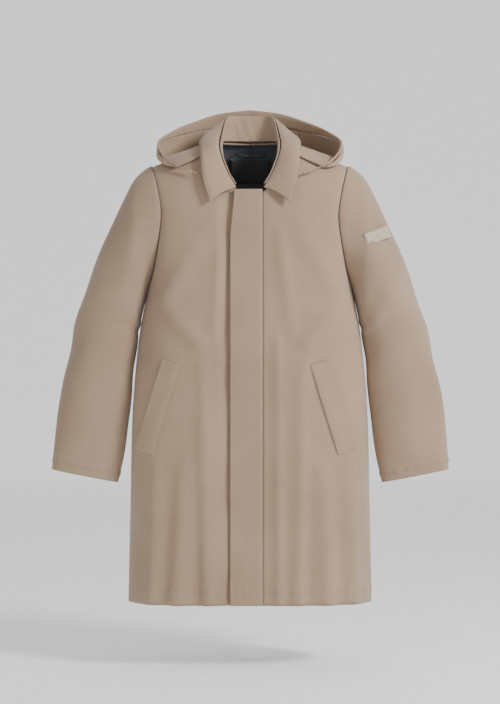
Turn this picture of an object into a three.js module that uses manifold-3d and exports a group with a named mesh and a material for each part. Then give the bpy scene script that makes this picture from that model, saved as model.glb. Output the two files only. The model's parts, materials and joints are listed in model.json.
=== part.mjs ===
// A hooded car coat, filled as if worn, hanging straight down with its front fastened.
// Millimetres. +Z is up, the front faces -Y, and +X is the wearer's left.
// The origin is the middle of the neck, level with the high point of the shoulders.
import * as THREE from "three";
import { mergeVertices } from "three/addons/utils/BufferGeometryUtils.js";
import Module from "manifold-3d";

const wasm = await Module();
wasm.setup();

// Driving dimensions.
const coatLength = 985; // neck to hem
const hemHalfWidth = 261;
const chestHalfWidth = 222; // at the armpit
const armpitDrop = 335;
const shoulderDrop = 55;
const shoulderHalf = 208;
const neckHalf = 70;
const neckFrontDrop = 105;
const neckBackDepth = 46;
const chestDepth = 96; // half the depth, front to back
const neckDepth = 80;
const armholeDepth = 58;
const shoulderRound = 110;
const sleeveDrop = 718; // neck to the middle of the cuff
const cuffCentre = 354;
const cuffHalfWidth = 71;
const cuffHalfDepth = 24;
const elbowDrop = 406;
const elbowHalfDepth = 44;
const clothThickness = 4; // outer cloth with its thin wadding
const liningThickness = 1.6;
const layerGap = 0.5;
const seamGap = 0.5;
const placketLeft = -42; // free edge of the fly, on the wearer's right
const placketTaper = 8; // how much narrower the fly is at the neck
const placketRight = 27; // stitch line that the fly turns on
const underFrontEdge = -4; // edge of the right front, under the fly
const foldTop = 36; // where each front's fold line leaves the neck
const foldBottom = 150;
const flapThickness = 2.4;
const stripThickness = 1.6;
const studCount = 5;
const studRadius = 6;
const studTop = 180; // first stud below the neck
const studPitch = 178;
const studHeight = 1.5;
const collarHeight = 58;
const collarThickness = 2.4;
const hoodThickness = 3.2;
const hoodTop = 81;
const hoodHalfWidth = 196;
const hoodBackReach = 128;
const hoodPouchDrop = 118;
const weltLength = 198;
const weltWidth = 38;
const weltThickness = 2.4;
const weltTopDrop = 469;
const weltOutset = { left: 161, right: 183 }; // opening edge of each welt, at its top
const sideClear = 10; // pocket parts stop this far from the side seam
const weltLean = 59; // how far the opening edge runs outward over its height
const bagDepth = 8;
const bagWall = 1;
const bagWidth = 66;
const badgeLength = 57;
const badgeHeight = 26;
const badgeThickness = 1.2;
const labelWidth = 90;
const labelHeight = 55;
const loopWidth = 70;
const loopLift = 10; // how far the hanger loop stands off the lining

const sides = { left: 1, right: -1 };
const halfTurn = Math.PI;
const lerp = (a, b, t) => a + (b - a) * t;
const clamp = (v, low, high) => Math.min(high, Math.max(low, v));
const smooth = (t) => {
  const c = clamp(t, 0, 1);
  return c * c * (3 - 2 * c);
};
const vec = (x, y, z) => new THREE.Vector3(x, y, z);

// A smooth value along a list of [position, value] pairs, in rising order of position.
function profile(pairs) {
  return (at) => {
    const last = pairs.length - 1;
    if (at <= pairs[0][0]) return pairs[0][1];
    if (at >= pairs[last][0]) return pairs[last][1];
    const i = pairs.findIndex((p) => p[0] > at) - 1;
    const slope = (k) => {
      const a = pairs[Math.max(0, k - 1)];
      const b = pairs[Math.min(last, k + 1)];
      return (b[1] - a[1]) / (b[0] - a[0]);
    };
    const [x0, y0] = pairs[i];
    const [x1, y1] = pairs[i + 1];
    const h = x1 - x0;
    const t = (at - x0) / h;
    return (
      (1 + 2 * t) * (1 - t) ** 2 * y0 + t * (1 - t) ** 2 * h * slope(i) +
      t * t * (3 - 2 * t) * y1 + t * t * (t - 1) * h * slope(i + 1)
    );
  };
}

// Half the width of the body at a height: side seam below the armpit, armhole above it.
const armholeWaist = chestHalfWidth - 34;
const bodyHalf = profile([
  [-coatLength, hemHalfWidth],
  [-coatLength * 0.76, hemHalfWidth - 5],
  [-coatLength * 0.59, hemHalfWidth - 9],
  [-armpitDrop - 95, chestHalfWidth + 17],
  [-armpitDrop, chestHalfWidth],
  [-armpitDrop + 70, chestHalfWidth - 20],
  [-armpitDrop + 165, armholeWaist],
  [-shoulderDrop - 60, (armholeWaist + shoulderHalf) / 2 - 4],
  [-shoulderDrop, shoulderHalf],
]);
const bodyDepth = profile([
  [-coatLength, chestDepth + 4],
  [-coatLength * 0.7, chestDepth + 2],
  [-armpitDrop, chestDepth],
  [-armpitDrop / 2, chestDepth - 8],
  [-neckFrontDrop, neckDepth],
  [0, neckDepth - 2],
]);
const ridge = (x) => -shoulderDrop * Math.max(0, (Math.abs(x) - neckHalf) / (shoulderHalf - neckHalf));
const neckBack = (x) => neckBackDepth * Math.sqrt(Math.max(0, 1 - (x / neckHalf) ** 2));

// Depth of the front (face -1) or back (face 1) of the body at x and z.
function bodyY(x, z, face) {
  const u = clamp(Math.abs(x) / bodyHalf(z), 0, 1);
  const across = Math.pow(1 - Math.pow(u, 3), 1 / 2.3);
  const level = (armpitDrop - 135 + z) / 135;
  const armhole = z < -armpitDrop ? 0 : armholeDepth * Math.sqrt(1 - clamp(-level, 0, 1) ** 2);
  const t = clamp((ridge(x) - z) / shoulderRound, 0, 1);
  const round = Math.sqrt(1 - (1 - t) ** 2);
  const full = armhole + (bodyDepth(z) - armhole) * across;
  const start = face > 0 ? neckBack(x) : 0;
  const depth = start + (full - start) * round;
  return face * Math.max(depth, seamGap / 2);
}
const bodyPoint = (x, z, face) => vec(x, bodyY(x, z, face), z);

// Direction from a point of the body towards the inside of the coat.
function bodyInward(p) {
  const heart = vec(p.x * 0.55, 0, Math.min(p.z, ridge(p.x) - 60));
  return heart.sub(p).normalize();
}

// A closed sheet: a grid of points and the same grid moved along inward, joined round the rim.
function sheet(nu, nv, pointAt, inwardAt, start, thickness) {
  const outer = [];
  const inner = [];
  for (let j = 0; j <= nv; j++) {
    for (let i = 0; i <= nu; i++) {
      const p = pointAt(i / nu, j / nv);
      const way = inwardAt(p, i / nu, j / nv);
      const from = typeof start === "function" ? start(p) : start;
      outer.push(p.clone().addScaledVector(way, from));
      inner.push(p.clone().addScaledVector(way, from + thickness));
    }
  }
  const count = outer.length;
  const index = [];
  const quad = (a, b, c, d) => index.push(a, b, c, a, c, d);
  const at = (i, j) => j * (nu + 1) + i;
  for (let j = 0; j < nv; j++) {
    for (let i = 0; i < nu; i++) {
      quad(at(i, j), at(i + 1, j), at(i + 1, j + 1), at(i, j + 1));
      quad(count + at(i, j), count + at(i, j + 1), count + at(i + 1, j + 1), count + at(i + 1, j));
    }
  }
  const rim = [];
  for (let i = 0; i < nu; i++) rim.push(at(i, 0));
  for (let j = 0; j < nv; j++) rim.push(at(nu, j));
  for (let i = nu; i > 0; i--) rim.push(at(i, nv));
  for (let j = nv; j > 0; j--) rim.push(at(0, j));
  rim.forEach((a, k) => {
    const b = rim[(k + 1) % rim.length];
    quad(a, count + a, count + b, b);
  });
  return outwardFaces([...outer, ...inner], index);
}

// A closed tube: rings of points and the same rings moved inward, joined at both ends.
function tube(around, along, pointAt, inwardAt, start, thickness) {
  const outer = [];
  const inner = [];
  for (let j = 0; j <= along; j++) {
    for (let i = 0; i < around; i++) {
      const p = pointAt(i / around, j / along);
      const way = inwardAt(p, i / around, j / along);
      outer.push(p.clone().addScaledVector(way, start));
      inner.push(p.clone().addScaledVector(way, start + thickness));
    }
  }
  const count = outer.length;
  const index = [];
  const quad = (a, b, c, d) => index.push(a, b, c, a, c, d);
  const at = (i, j) => j * around + (i % around);
  for (let i = 0; i < around; i++) {
    for (let j = 0; j < along; j++) {
      quad(at(i, j), at(i + 1, j), at(i + 1, j + 1), at(i, j + 1));
      quad(count + at(i, j), count + at(i, j + 1), count + at(i + 1, j + 1), count + at(i + 1, j));
    }
    quad(count + at(i, 0), count + at(i + 1, 0), at(i + 1, 0), at(i, 0));
    quad(at(i, along), at(i + 1, along), count + at(i + 1, along), count + at(i, along));
  }
  return outwardFaces([...outer, ...inner], index);
}

// A geometry from points and triangles, turned round if its faces point inwards.
function outwardFaces(points, index) {
  let volume = 0;
  for (let k = 0; k < index.length; k += 3) {
    const [a, b, c] = [points[index[k]], points[index[k + 1]], points[index[k + 2]]];
    volume += a.dot(b.clone().cross(c));
  }
  const faces = volume < 0 ? index.map((v, k) => (k % 3 === 0 ? v : index[k + (k % 3 === 1 ? 1 : -1)])) : index;
  const geometry = new THREE.BufferGeometry();
  geometry.setAttribute("position", new THREE.Float32BufferAttribute(points.flatMap((p) => p.toArray()), 3));
  geometry.setIndex(faces);
  return geometry;
}

// Unit normals of a grid surface, found from its neighbours, on the side that way() points to.
function surfaceNormal(pointAt, way) {
  const step = 0.02;
  return (p, u, v) => {
    const across = pointAt(Math.min(1, u + step), v).sub(pointAt(Math.max(0, u - step), v));
    const up = pointAt(u, Math.min(1, v + step)).sub(pointAt(u, Math.max(0, v - step)));
    const normal = across.cross(up).normalize();
    return normal.dot(way(p, u, v)) < 0 ? normal.negate() : normal;
  };
}

function solidOf(geometry) {
  const plain = geometry.clone();
  plain.deleteAttribute("normal");
  plain.deleteAttribute("uv");
  const merged = mergeVertices(plain, 1e-3);
  return new wasm.Manifold(
    new wasm.Mesh({
      numProp: 3,
      vertProperties: new Float32Array(merged.attributes.position.array),
      triVerts: new Uint32Array(merged.index.array),
    }),
  );
}

function geometryOf(solid) {
  const mesh = solid.getMesh();
  const geometry = new THREE.BufferGeometry();
  geometry.setAttribute("position", new THREE.BufferAttribute(mesh.vertProperties, 3));
  geometry.setIndex(new THREE.BufferAttribute(mesh.triVerts, 1));
  return geometry;
}

const cut = (geometry, tool) => geometryOf(solidOf(geometry).subtract(solidOf(tool)));

const material = (color, roughness, metalness = 0) =>
  new THREE.MeshStandardMaterial({ color, roughness, metalness });
const finish = {
  cloth: () => material(0xa8937c, 0.85),
  lining: () => material(0x4b545c, 0.55),
  label: () => material(0x454647, 0.7),
  badge: () => material(0xb0a590, 0.7),
  metal: () => material(0x8a8883, 0.35, 0.9),
};

const coat = new THREE.Group();
function add(name, geometry, kind) {
  const mesh = new THREE.Mesh(geometry, finish[kind]());
  mesh.name = name;
  coat.add(mesh);
}

// Fronts and backs: rows run from the hem to the shoulder.
const bodyRows = 14;
const hemRows = 7; // rows below the armpit
function outerEdge(row) {
  if (row <= hemRows) return -coatLength + (coatLength - armpitDrop) * (row / hemRows);
  const turn = (row - hemRows) / (bodyRows - hemRows);
  const half = (armpitDrop - shoulderDrop) / 2;
  return -armpitDrop + half - half * Math.cos(halfTurn * turn);
}
const innerEdge = (row) =>
  (-armpitDrop * (1 + Math.cos((halfTurn * (row - hemRows)) / (bodyRows - hemRows)))) / 2;
const foldX = (z) => lerp(foldTop, foldBottom, (-neckFrontDrop - z) / (coatLength - neckFrontDrop));
const neckX = (z) => {
  const share = clamp(-z / neckFrontDrop, 0, 1);
  return foldTop + (neckHalf - foldTop) * Math.sqrt(1 - share ** 2);
};

function frontGrid(side, inset) {
  return (u, v) => {
    const row = v * bodyRows;
    const zOut = outerEdge(row);
    const zIn = row <= hemRows ? zOut : innerEdge(row);
    const xIn = (zIn < -neckFrontDrop ? foldX(zIn) : neckX(zIn)) + inset;
    const share = Math.sin((u * halfTurn) / 2);
    const x = lerp(xIn, bodyHalf(zOut) - (row > hemRows ? seamGap : 0), share);
    const z = lerp(zIn, zOut, share);
    return bodyPoint(side * x, z, -1);
  };
}
function backGrid(side) {
  return (u, v) => {
    const row = v * bodyRows;
    const zOut = outerEdge(row);
    const zIn = row <= hemRows ? zOut : innerEdge(row);
    const share = Math.sin((u * halfTurn) / 2);
    const x = lerp(seamGap / 2, bodyHalf(zOut) - (row > hemRows ? seamGap : 0), share);
    const lift = (ridge(x) - lerp(0, -shoulderDrop, share)) * clamp(row - bodyRows + 4, 0, 4) * 0.25;
    return bodyPoint(side * x, lerp(zIn, zOut, share) + lift, 1);
  };
}
// The swinging edge of a front, from its fold line to its own front edge.
function edgeGrid(side, frontEdge, top) {
  return (u, v) => {
    const z = lerp(-coatLength, -top, v);
    return bodyPoint(lerp(side * (foldX(z) - seamGap), frontEdge, u), z, -1);
  };
}

// Welts, slits and pocket bags lie on the front: along runs down the opening edge.
const weltZ = (along) => -weltTopDrop - weltLength * along * 0.955;
function pocketPoint(name, along, inwardMm) {
  const side = sides[name];
  const z = weltZ(along) - inwardMm * 0.3;
  const wanted = weltOutset[name] + weltLean * along - inwardMm * 0.955;
  const x = Math.min(wanted, bodyHalf(z) - sideClear + Math.max(0, -inwardMm) / 3);
  return bodyPoint(side * x, z, -1);
}
const pocketGrid = (name, a0, a1, in0, in1) => (u, v) =>
  pocketPoint(name, lerp(a0, a1, v), lerp(in0, in1, u));
const facetRoom = 1.3; // room for the flats of the faceted cloth
const bagStart = clothThickness + layerGap + facetRoom;
const bagTop = -0.05;
const bagBottom = 1.18;
// The front lining stands off the cloth beside the pocket bags.
function liningStart(p) {
  const along = (-p.z - weltTopDrop) / (weltLength * 0.955);
  const beside = smooth((along + 0.78) / 0.45) * smooth((1.8 - along) / 0.45);
  return clothThickness + layerGap + (bagDepth + 2 * facetRoom + layerGap - 0.2) * beside;
}

const slitLow = 0.09;
const slitHigh = 0.91;
for (const [name, side] of Object.entries(sides)) {
  const front = sheet(8, bodyRows, frontGrid(side, seamGap), bodyInward, 0, clothThickness);
  const slit = sheet(1, 4, pocketGrid(name, slitLow, slitHigh, 6, 20), bodyInward, -3, clothThickness + 6);
  add(`${name}_front`, cut(front, slit), "cloth");
  add(`${name}_back`, sheet(10, bodyRows, backGrid(side), bodyInward, 0, clothThickness), "cloth");
  const bag = sheet(4, 5, pocketGrid(name, bagTop, bagBottom, -4, bagWidth), bodyInward, bagStart, bagDepth);
  const hollow = sheet(4, 5, pocketGrid(name, bagTop + 0.02, bagBottom - 0.02, -1, bagWidth - 3), bodyInward, bagStart + bagWall,
    bagDepth - 2 * bagWall);
  const mouth = sheet(1, 4, pocketGrid(name, slitLow, slitHigh, 6, 20), bodyInward, 0, bagStart + 3);
  add(`${name}_pocket_bag`, cut(cut(bag, hollow), mouth), "lining");
  add(`${name}_pocket_welt`, sheet(2, 5, pocketGrid(name, 0, 1, 0, weltWidth), bodyInward,
    -layerGap - facetRoom / 2 - weltThickness, weltThickness), "cloth");
  add(`lining_${name}_front`, sheet(8, bodyRows, frontGrid(side, seamGap), bodyInward, liningStart,
    liningThickness), "lining");
  add(`lining_${name}_back`, sheet(10, bodyRows, backGrid(side), bodyInward, clothThickness + layerGap,
    liningThickness), "lining");
}

// The swinging fronts, the fly and the facings.
const frontTop = neckFrontDrop + 4;
const edgeRows = 13;
const flapGap = flapThickness + layerGap;
const stripStart = flapGap;
const underStart = stripStart + stripThickness + 2 * studHeight + 2.5 * layerGap;
const stripInset = 3;
add("left_front_edge", sheet(4, edgeRows, edgeGrid(1, placketRight + seamGap, frontTop), bodyInward, 0,
  clothThickness), "cloth");
const flyEdge = (z) => placketLeft + placketTaper * smooth((z + frontTop + 110) / 110);
const flyPoint = (inset) => (u, v) => {
  const z = lerp(-coatLength, -frontTop, v);
  return bodyPoint(lerp(flyEdge(z) + inset, placketRight, u), z, -1);
};
add("fly_flap", sheet(3, edgeRows, flyPoint(0), bodyInward, 0, flapThickness), "cloth");
add("fly_strip", sheet(3, edgeRows, flyPoint(stripInset), bodyInward, stripStart, stripThickness), "cloth");
const underStartAt = (p) => lerp(0, underStart, smooth((p.x - placketLeft + 30) / 24));
add("right_front_edge", sheet(8, edgeRows, edgeGrid(-1, underFrontEdge, frontTop), bodyInward, underStartAt,
  clothThickness), "cloth");
add("right_facing", sheet(8, edgeRows, edgeGrid(-1, underFrontEdge, frontTop), bodyInward,
  (p) => underStartAt(p) + clothThickness + layerGap, liningThickness), "cloth");
add("left_facing", sheet(4, edgeRows, edgeGrid(1, placketRight + seamGap, frontTop), bodyInward,
  clothThickness + layerGap, liningThickness), "cloth");

// A stud half lies flat on the fly: depth is how far its near face is behind the coat's front.
function studShape(radius, height, z, depth) {
  const slope = (bodyY(studX, z + 5, -1) - bodyY(studX, z - 5, -1)) / 10;
  const geometry = new THREE.CylinderGeometry(radius, radius, height, 12);
  geometry.translate(0, depth + height / 2, 0);
  geometry.rotateX(-Math.atan(slope));
  return geometry.translate(studX, bodyY(studX, z, -1), z);
}
const studX = (placketLeft + stripInset + underFrontEdge) / 2;
const socketDepth = stripStart + stripThickness + layerGap;
for (let k = 0; k < studCount; k++) {
  const z = -studTop - k * studPitch;
  add(`press_socket_${k + 1}`, studShape(studRadius, studHeight, z, socketDepth), "metal");
  add(`press_stud_${k + 1}`, studShape(studRadius - 1, studHeight, z, socketDepth + studHeight + layerGap / 2),
    "metal");
}

// Sleeves: rings run from the armhole to the elbow, and from the elbow to the cuff.
const elbowOut = vec(374, 0, -elbowDrop + 11);
const elbowIn = vec(243, 0, -elbowDrop - 12);
const cuffOut = vec(cuffCentre + cuffHalfWidth, 0, -sleeveDrop + 14);
const cuffIn = vec(cuffCentre - cuffHalfWidth, 0, -sleeveDrop - 14);
const tip = vec(shoulderHalf + 1, 0, -shoulderDrop);
const pit = vec(chestHalfWidth + 1, 0, -armpitDrop - 1);
const along = (points) => new THREE.CatmullRomCurve3(points, false, "catmullrom", 0.5);
const upperOut = along([tip, vec(238, 0, -67), vec(262, 0, -108), vec(297, 0, -182), vec(329, 0, -256),
  vec(355, 0, -331), elbowOut]);
const upperIn = along([pit, vec(226, 0, -350), vec(229, 0, -362), vec(232, 0, -376), vec(235, 0, -390),
  vec(239, 0, -404), elbowIn]);
const lowerOut = along([elbowOut, vec(392, 0, -482), vec(409, 0, -558), vec(418, 0, -633), cuffOut]);
const lowerIn = along([elbowIn, vec(251, 0, -500), vec(259, 0, -590), vec(269, 0, -668), cuffIn]);

function sleeveSection(side, outLine, inLine, depthAt, ringFit) {
  return (turn, s, backHalf) => {
    const out = outLine.getPoint(s);
    const inside = inLine.getPoint(s);
    const angle = 2 * halfTurn * turn;
    const share = (1 + Math.cos(angle)) / 2;
    const p = inside.clone().lerp(out, share);
    const front = Math.sin(angle);
    const face = turn < 0.5 || (turn === 0.5 && !backHalf) ? -1 : 1;
    p.y = face * Math.max(Math.abs(front) ** 0.9 * depthAt(s), seamGap / 2);
    if (ringFit) {
      const weight = 1 - smooth(s / 0.3);
      const z = lerp(-armpitDrop, -shoulderDrop, share);
      const ring = bodyPoint(bodyHalf(z) + seamGap, z, face);
      p.lerp(ring, weight);
    }
    p.x *= side;
    return p;
  };
}
function sleeveInward(side, outLine, inLine) {
  return (p, turn, s) => {
    const out = outLine.getPoint(s);
    const inside = inLine.getPoint(s);
    const centre = inside.clone().lerp(out, 0.5);
    const heart = centre.lerp(vec(p.x * side, 0, p.z), 0.6);
    return vec(heart.x * side, 0, heart.z).sub(p).normalize();
  };
}
const upperDepth = profile([[0, armholeDepth], [0.4, armholeDepth + 2], [1, elbowHalfDepth]]);
const lowerDepth = profile([[0, elbowHalfDepth], [0.5, 36], [1, cuffHalfDepth]]);
const elbowGap = 0.0018; // share of each sleeve length left open at the elbow
for (const [name, side] of Object.entries(sides)) {
  const parts = [
    ["upper", upperOut, upperIn, upperDepth, true, 7, (v) => v * (1 - elbowGap)],
    ["lower", lowerOut, lowerIn, lowerDepth, false, 5, (v) => elbowGap + v * (1 - elbowGap)],
  ];
  for (const [part, outLine, inLine, depthAt, ringFit, rows, spread] of parts) {
    const section = sleeveSection(side, outLine, inLine, depthAt, ringFit);
    const inward = sleeveInward(side, outLine, inLine);
    for (const [face, start] of [["front", 0], ["back", 0.5]]) {
      const pointAt = (u, v) => section(start + u * 0.5, spread(v), start > 0);
      const inwardAt = (p, u, v) => inward(p, start + u * 0.5, spread(v));
      add(`${name}_sleeve_${part}_${face}`, sheet(6, rows, pointAt, inwardAt, 0, clothThickness), "cloth");
    }
    add(`${name}_sleeve_lining_${part}`, tube(12, rows, (u, v) => section(u, spread(v)),
      (p, u, v) => inward(p, u, spread(v)), clothThickness + layerGap, liningThickness), "lining");
  }
}

// The badge on the wearer's left sleeve: a flat plate that lies on the front of the sleeve.
const badgeCentre = vec(268, 0, -206);
const badgeTurn = 0.36;
const badgeLean = 0.36;
const badgeFaceY = -armholeDepth + 2.3;
{
  const badge = new THREE.BoxGeometry(badgeLength, badgeThickness, badgeHeight);
  badge.rotateY(-badgeTurn);
  badge.rotateZ(badgeLean);
  badge.translate(badgeCentre.x, badgeFaceY, badgeCentre.z);
  add("sleeve_badge", badge, "badge");
}

// The collar: the stand rises from the neck to the roll line, and the fall turns down outside it.
const collarFront = 28;
const rollLine = along([
  vec(0, 58, collarHeight + 2), vec(30, 54, collarHeight + 2), vec(50, 34, collarHeight - 3),
  vec(60, -8, 17), vec(63, -52, -21), vec(48, -69, -68), vec(collarFront, -80, -neckFrontDrop),
]);
const neckLine = along([
  vec(0, 41, 3), vec(32, 37, 3), vec(52, 23, 2), vec(60, -8, -4), vec(58, -46, -38), vec(43, -61, -80),
  vec(collarFront - 2, -75, -neckFrontDrop + 1),
]);
const fallLine = along([
  vec(0, 86, 4), vec(40, 84, 4), vec(80, 62, 5), vec(107, 12, 5), vec(106, -54, -26), vec(100, -88, -80),
  vec(84, -98, -137),
]);
function mirrored(line) {
  return (c) => {
    const p = line.getPoint(Math.min(1, Math.abs(c)));
    return vec(c < 0 ? -p.x : p.x, p.y, p.z);
  };
}
const [rollAt, neckAt, fallAt] = [rollLine, neckLine, fallLine].map(mirrored);
const neckHeart = (p) => vec(0, -10, p.z).sub(p);
const standReach = 0.96; // the stand ends just inside the front edges
const standPoint = (u, v) => {
  const c = lerp(-standReach, standReach, u);
  return neckAt(c).lerp(rollAt(c), v);
};
add("collar_stand", sheet(16, 1, standPoint, surfaceNormal(standPoint, neckHeart), 0, collarThickness), "cloth");
function fallPoint(c, v) {
  const from = rollAt(c);
  const to = fallAt(c);
  const away = vec(from.x, from.y + 10, 0).normalize();
  from.addScaledVector(away, collarThickness + rollGap);
  const crest = from.clone().lerp(to, 0.5).addScaledVector(away, 6).add(vec(0, 0, 16 * (1 - Math.abs(c) / 2)));
  const a = from.clone().lerp(crest, v);
  const b = crest.clone().lerp(to, v);
  return a.lerp(b, v);
}
const rollGap = 0.5;
const leafStart = 0.68;
const leafGap = 0.0042;
const fallParts = [
  ["collar_back_fall", -leafStart, leafStart, 10],
  ["collar_leaf_left", leafStart + leafGap, 1, 5],
  ["collar_leaf_right", -1, -leafStart - leafGap, 5],
];
for (const [name, from, to, steps] of fallParts) {
  const pointAt = (u, v) => fallPoint(lerp(from, to, u), v);
  add(name, sheet(steps, 4, pointAt, surfaceNormal(pointAt, neckHeart), 0, collarThickness), "cloth");
}

// The hood lies open behind the collar: a base from the neck out to the pouch, and panels up to the rim.
const hoodEnd = { x: 92, y: -84, z: -76 };
const hoodNeck = along([
  vec(0, 51, 7), vec(38, 47, 7), vec(68, 32, 3), vec(80, 12, 0), vec(86, -14, -5), vec(88, -42, -22),
  vec(hoodEnd.x - 6, hoodEnd.y + 10, hoodEnd.z + 14),
]);
const hoodMiddle = along([
  vec(0, 92, -52), vec(58, 88, -44), vec(100, 66, -34), vec(126, 42, -31), vec(138, 10, -25), vec(126, -46, -41),
  vec(hoodEnd.x, hoodEnd.y + 6, hoodEnd.z + 6),
]);
const hoodFold = along([
  vec(0, hoodBackReach - 8, -hoodPouchDrop), vec(74, hoodBackReach - 6, -hoodPouchDrop + 12),
  vec(132, 108, -86), vec(170, 76, -58), vec(hoodHalfWidth, 16, -38), vec(hoodHalfWidth - 24, -46, -58),
  vec(hoodEnd.x + 2, hoodEnd.y, hoodEnd.z - 2),
]);
const hoodBulge = along([
  vec(0, hoodBackReach + 16, -30), vec(72, hoodBackReach + 12, -26), vec(138, 104, -22), vec(178, 72, -16),
  vec(hoodHalfWidth + 3, 10, -18), vec(hoodHalfWidth - 12, -48, -50),
  vec(hoodEnd.x + 4, hoodEnd.y - 1, hoodEnd.z - 4),
]);
const hoodRim = along([
  vec(0, hoodBackReach - 14, hoodTop), vec(66, 108, hoodTop - 9), vec(122, 88, 52), vec(168, 56, 28),
  vec(hoodHalfWidth, -2, -4), vec(hoodHalfWidth - 30, -54, -50), vec(hoodEnd.x + 7, hoodEnd.y - 2, hoodEnd.z - 6),
]);
const [hoodNeckAt, hoodMidAt, hoodFoldAt, hoodBulgeAt, hoodRimAt] =
  [hoodNeck, hoodMiddle, hoodFold, hoodBulge, hoodRim].map(mirrored);
const bend = (a, b, c, v) => a.clone().lerp(b, v).lerp(b.clone().lerp(c, v), v);
const hoodBase = (c, v) => bend(hoodNeckAt(c), hoodMidAt(c), hoodFoldAt(c), v);
const hoodWall = (c, v) => bend(hoodFoldAt(c), hoodBulgeAt(c), hoodRimAt(c), v);
const outOfHood = (p) => vec(p.x, p.y - 40, 0);
const hoodReach = 0.97; // the hem band runs in under the collar leaves
const panelReach = 0.87;
const baseReach = 0.97; // the base stops short of the fold, the panels start just past it
const foldSeam = 0.055;
{
  const pointAt = (u, v) => hoodBase(lerp(-panelReach, panelReach, u), v * baseReach);
  const up = surfaceNormal(pointAt, (p) => vec(p.x * 0.2, 30, 100));
  add("hood_base", sheet(20, 4, pointAt, up, 0, hoodThickness), "cloth");
}
const hoodSplit = 0.27;
const bandStart = 0.84;
const hoodPanels = [
  ["hood_center_panel", -hoodSplit, hoodSplit, 6],
  ["hood_left_panel", hoodSplit + 0.0025, panelReach, 8],
  ["hood_right_panel", -panelReach, -hoodSplit - 0.0025, 8],
];
for (const [name, from, to, steps] of hoodPanels) {
  const pointAt = (u, v) => {
    const c = lerp(from, to, u);
    const tall = hoodFoldAt(c).distanceTo(hoodRimAt(c));
    const bottom = foldSeam + 2 / tall;
    const top = bandStart - lerp(0.5, 3.5, c * c) / tall;
    return hoodWall(c, lerp(bottom, top, v));
  };
  const outward = surfaceNormal(pointAt, outOfHood);
  add(name, sheet(steps, 4, pointAt, outward, 0, hoodThickness), "cloth");
}
{
  const pointAt = (u, v) => hoodWall(lerp(-hoodReach, hoodReach, u), lerp(bandStart, 1, v));
  const outward = surfaceNormal(pointAt, outOfHood);
  add("hood_hem_band", sheet(20, 1, pointAt, outward, -0.4, hoodThickness + 0.8), "cloth");
}

// Inside the back of the neck: a patch on the lining, the label on it, and the hanger loop.
const liningFace = clothThickness + 2 * layerGap + liningThickness + 3.5;
const neckPatch = (halfWidth, top, bottom) => (u, v) =>
  bodyPoint(lerp(-halfWidth, halfWidth, u), lerp(-bottom, -top, v), 1);
add("label_patch", sheet(6, 3, neckPatch(labelWidth / 2 + 3, 27, 97), bodyInward, liningFace, 1.2), "lining");
add("neck_label", sheet(6, 2, neckPatch(labelWidth / 2, 30, 30 + labelHeight), bodyInward,
  liningFace + 1.2 + 2 * layerGap, 1), "label");
const loopPoint = (u, v) => {
  const x = lerp(-loopWidth / 2, loopWidth / 2, u);
  const p = bodyPoint(x, lerp(-17, -12, v), 1);
  const lift = loopLift * (1 - (2 * u - 1) ** 4);
  return p.addScaledVector(bodyInward(p), lift);
};
add("hanger_loop", sheet(10, 1, loopPoint, (p) => bodyInward(p), liningFace - 0.4, 1.4), "lining");

export default coat;
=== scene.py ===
import math
import bpy
import numpy as np
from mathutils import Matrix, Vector
from mathutils.bvhtree import BVHTree
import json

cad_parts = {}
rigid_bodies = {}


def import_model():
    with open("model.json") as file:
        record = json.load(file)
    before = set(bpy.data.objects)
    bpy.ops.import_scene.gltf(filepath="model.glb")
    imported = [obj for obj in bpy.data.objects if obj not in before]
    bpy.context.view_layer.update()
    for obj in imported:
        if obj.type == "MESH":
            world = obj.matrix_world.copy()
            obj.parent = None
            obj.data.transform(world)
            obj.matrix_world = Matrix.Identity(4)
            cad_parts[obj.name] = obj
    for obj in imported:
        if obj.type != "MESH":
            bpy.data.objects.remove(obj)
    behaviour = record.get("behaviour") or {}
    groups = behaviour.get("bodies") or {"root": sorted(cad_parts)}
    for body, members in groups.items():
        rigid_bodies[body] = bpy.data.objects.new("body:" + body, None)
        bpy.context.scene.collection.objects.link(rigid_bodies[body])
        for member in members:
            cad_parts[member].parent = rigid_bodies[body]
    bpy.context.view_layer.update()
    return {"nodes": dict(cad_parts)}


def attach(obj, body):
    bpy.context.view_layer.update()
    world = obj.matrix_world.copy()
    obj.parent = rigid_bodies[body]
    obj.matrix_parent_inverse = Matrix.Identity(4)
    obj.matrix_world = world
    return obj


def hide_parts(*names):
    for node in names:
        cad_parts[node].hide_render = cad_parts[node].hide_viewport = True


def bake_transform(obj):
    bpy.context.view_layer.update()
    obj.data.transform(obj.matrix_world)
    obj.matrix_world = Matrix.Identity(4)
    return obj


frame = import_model()

# The coat's own shape, in millimetres, the same formulas as the CAD.
coat = {
    "length": 985, "hem": 261, "chest": 222, "armpit": 335, "armholeRise": 135, "shoulderDrop": 55,
    "shoulderHalf": 208, "neckHalf": 70, "neckFront": 105, "neckBack": 46, "armhole": 58,
    "round": 110, "foldTop": 36, "foldStep": 13, "cloth": 4, "liningStart": 4.6, "lining": 1.4,
    "hemStitch": 957, "rows": 14, "hemRows": 7,
}
thinnest = 0.25
toMetres = 1000


def lerp(a, b, t):
    return a + (b - a) * t


def smooth(t):
    t = np.clip(t, 0, 1)
    return t * t * (3 - 2 * t)


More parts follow.
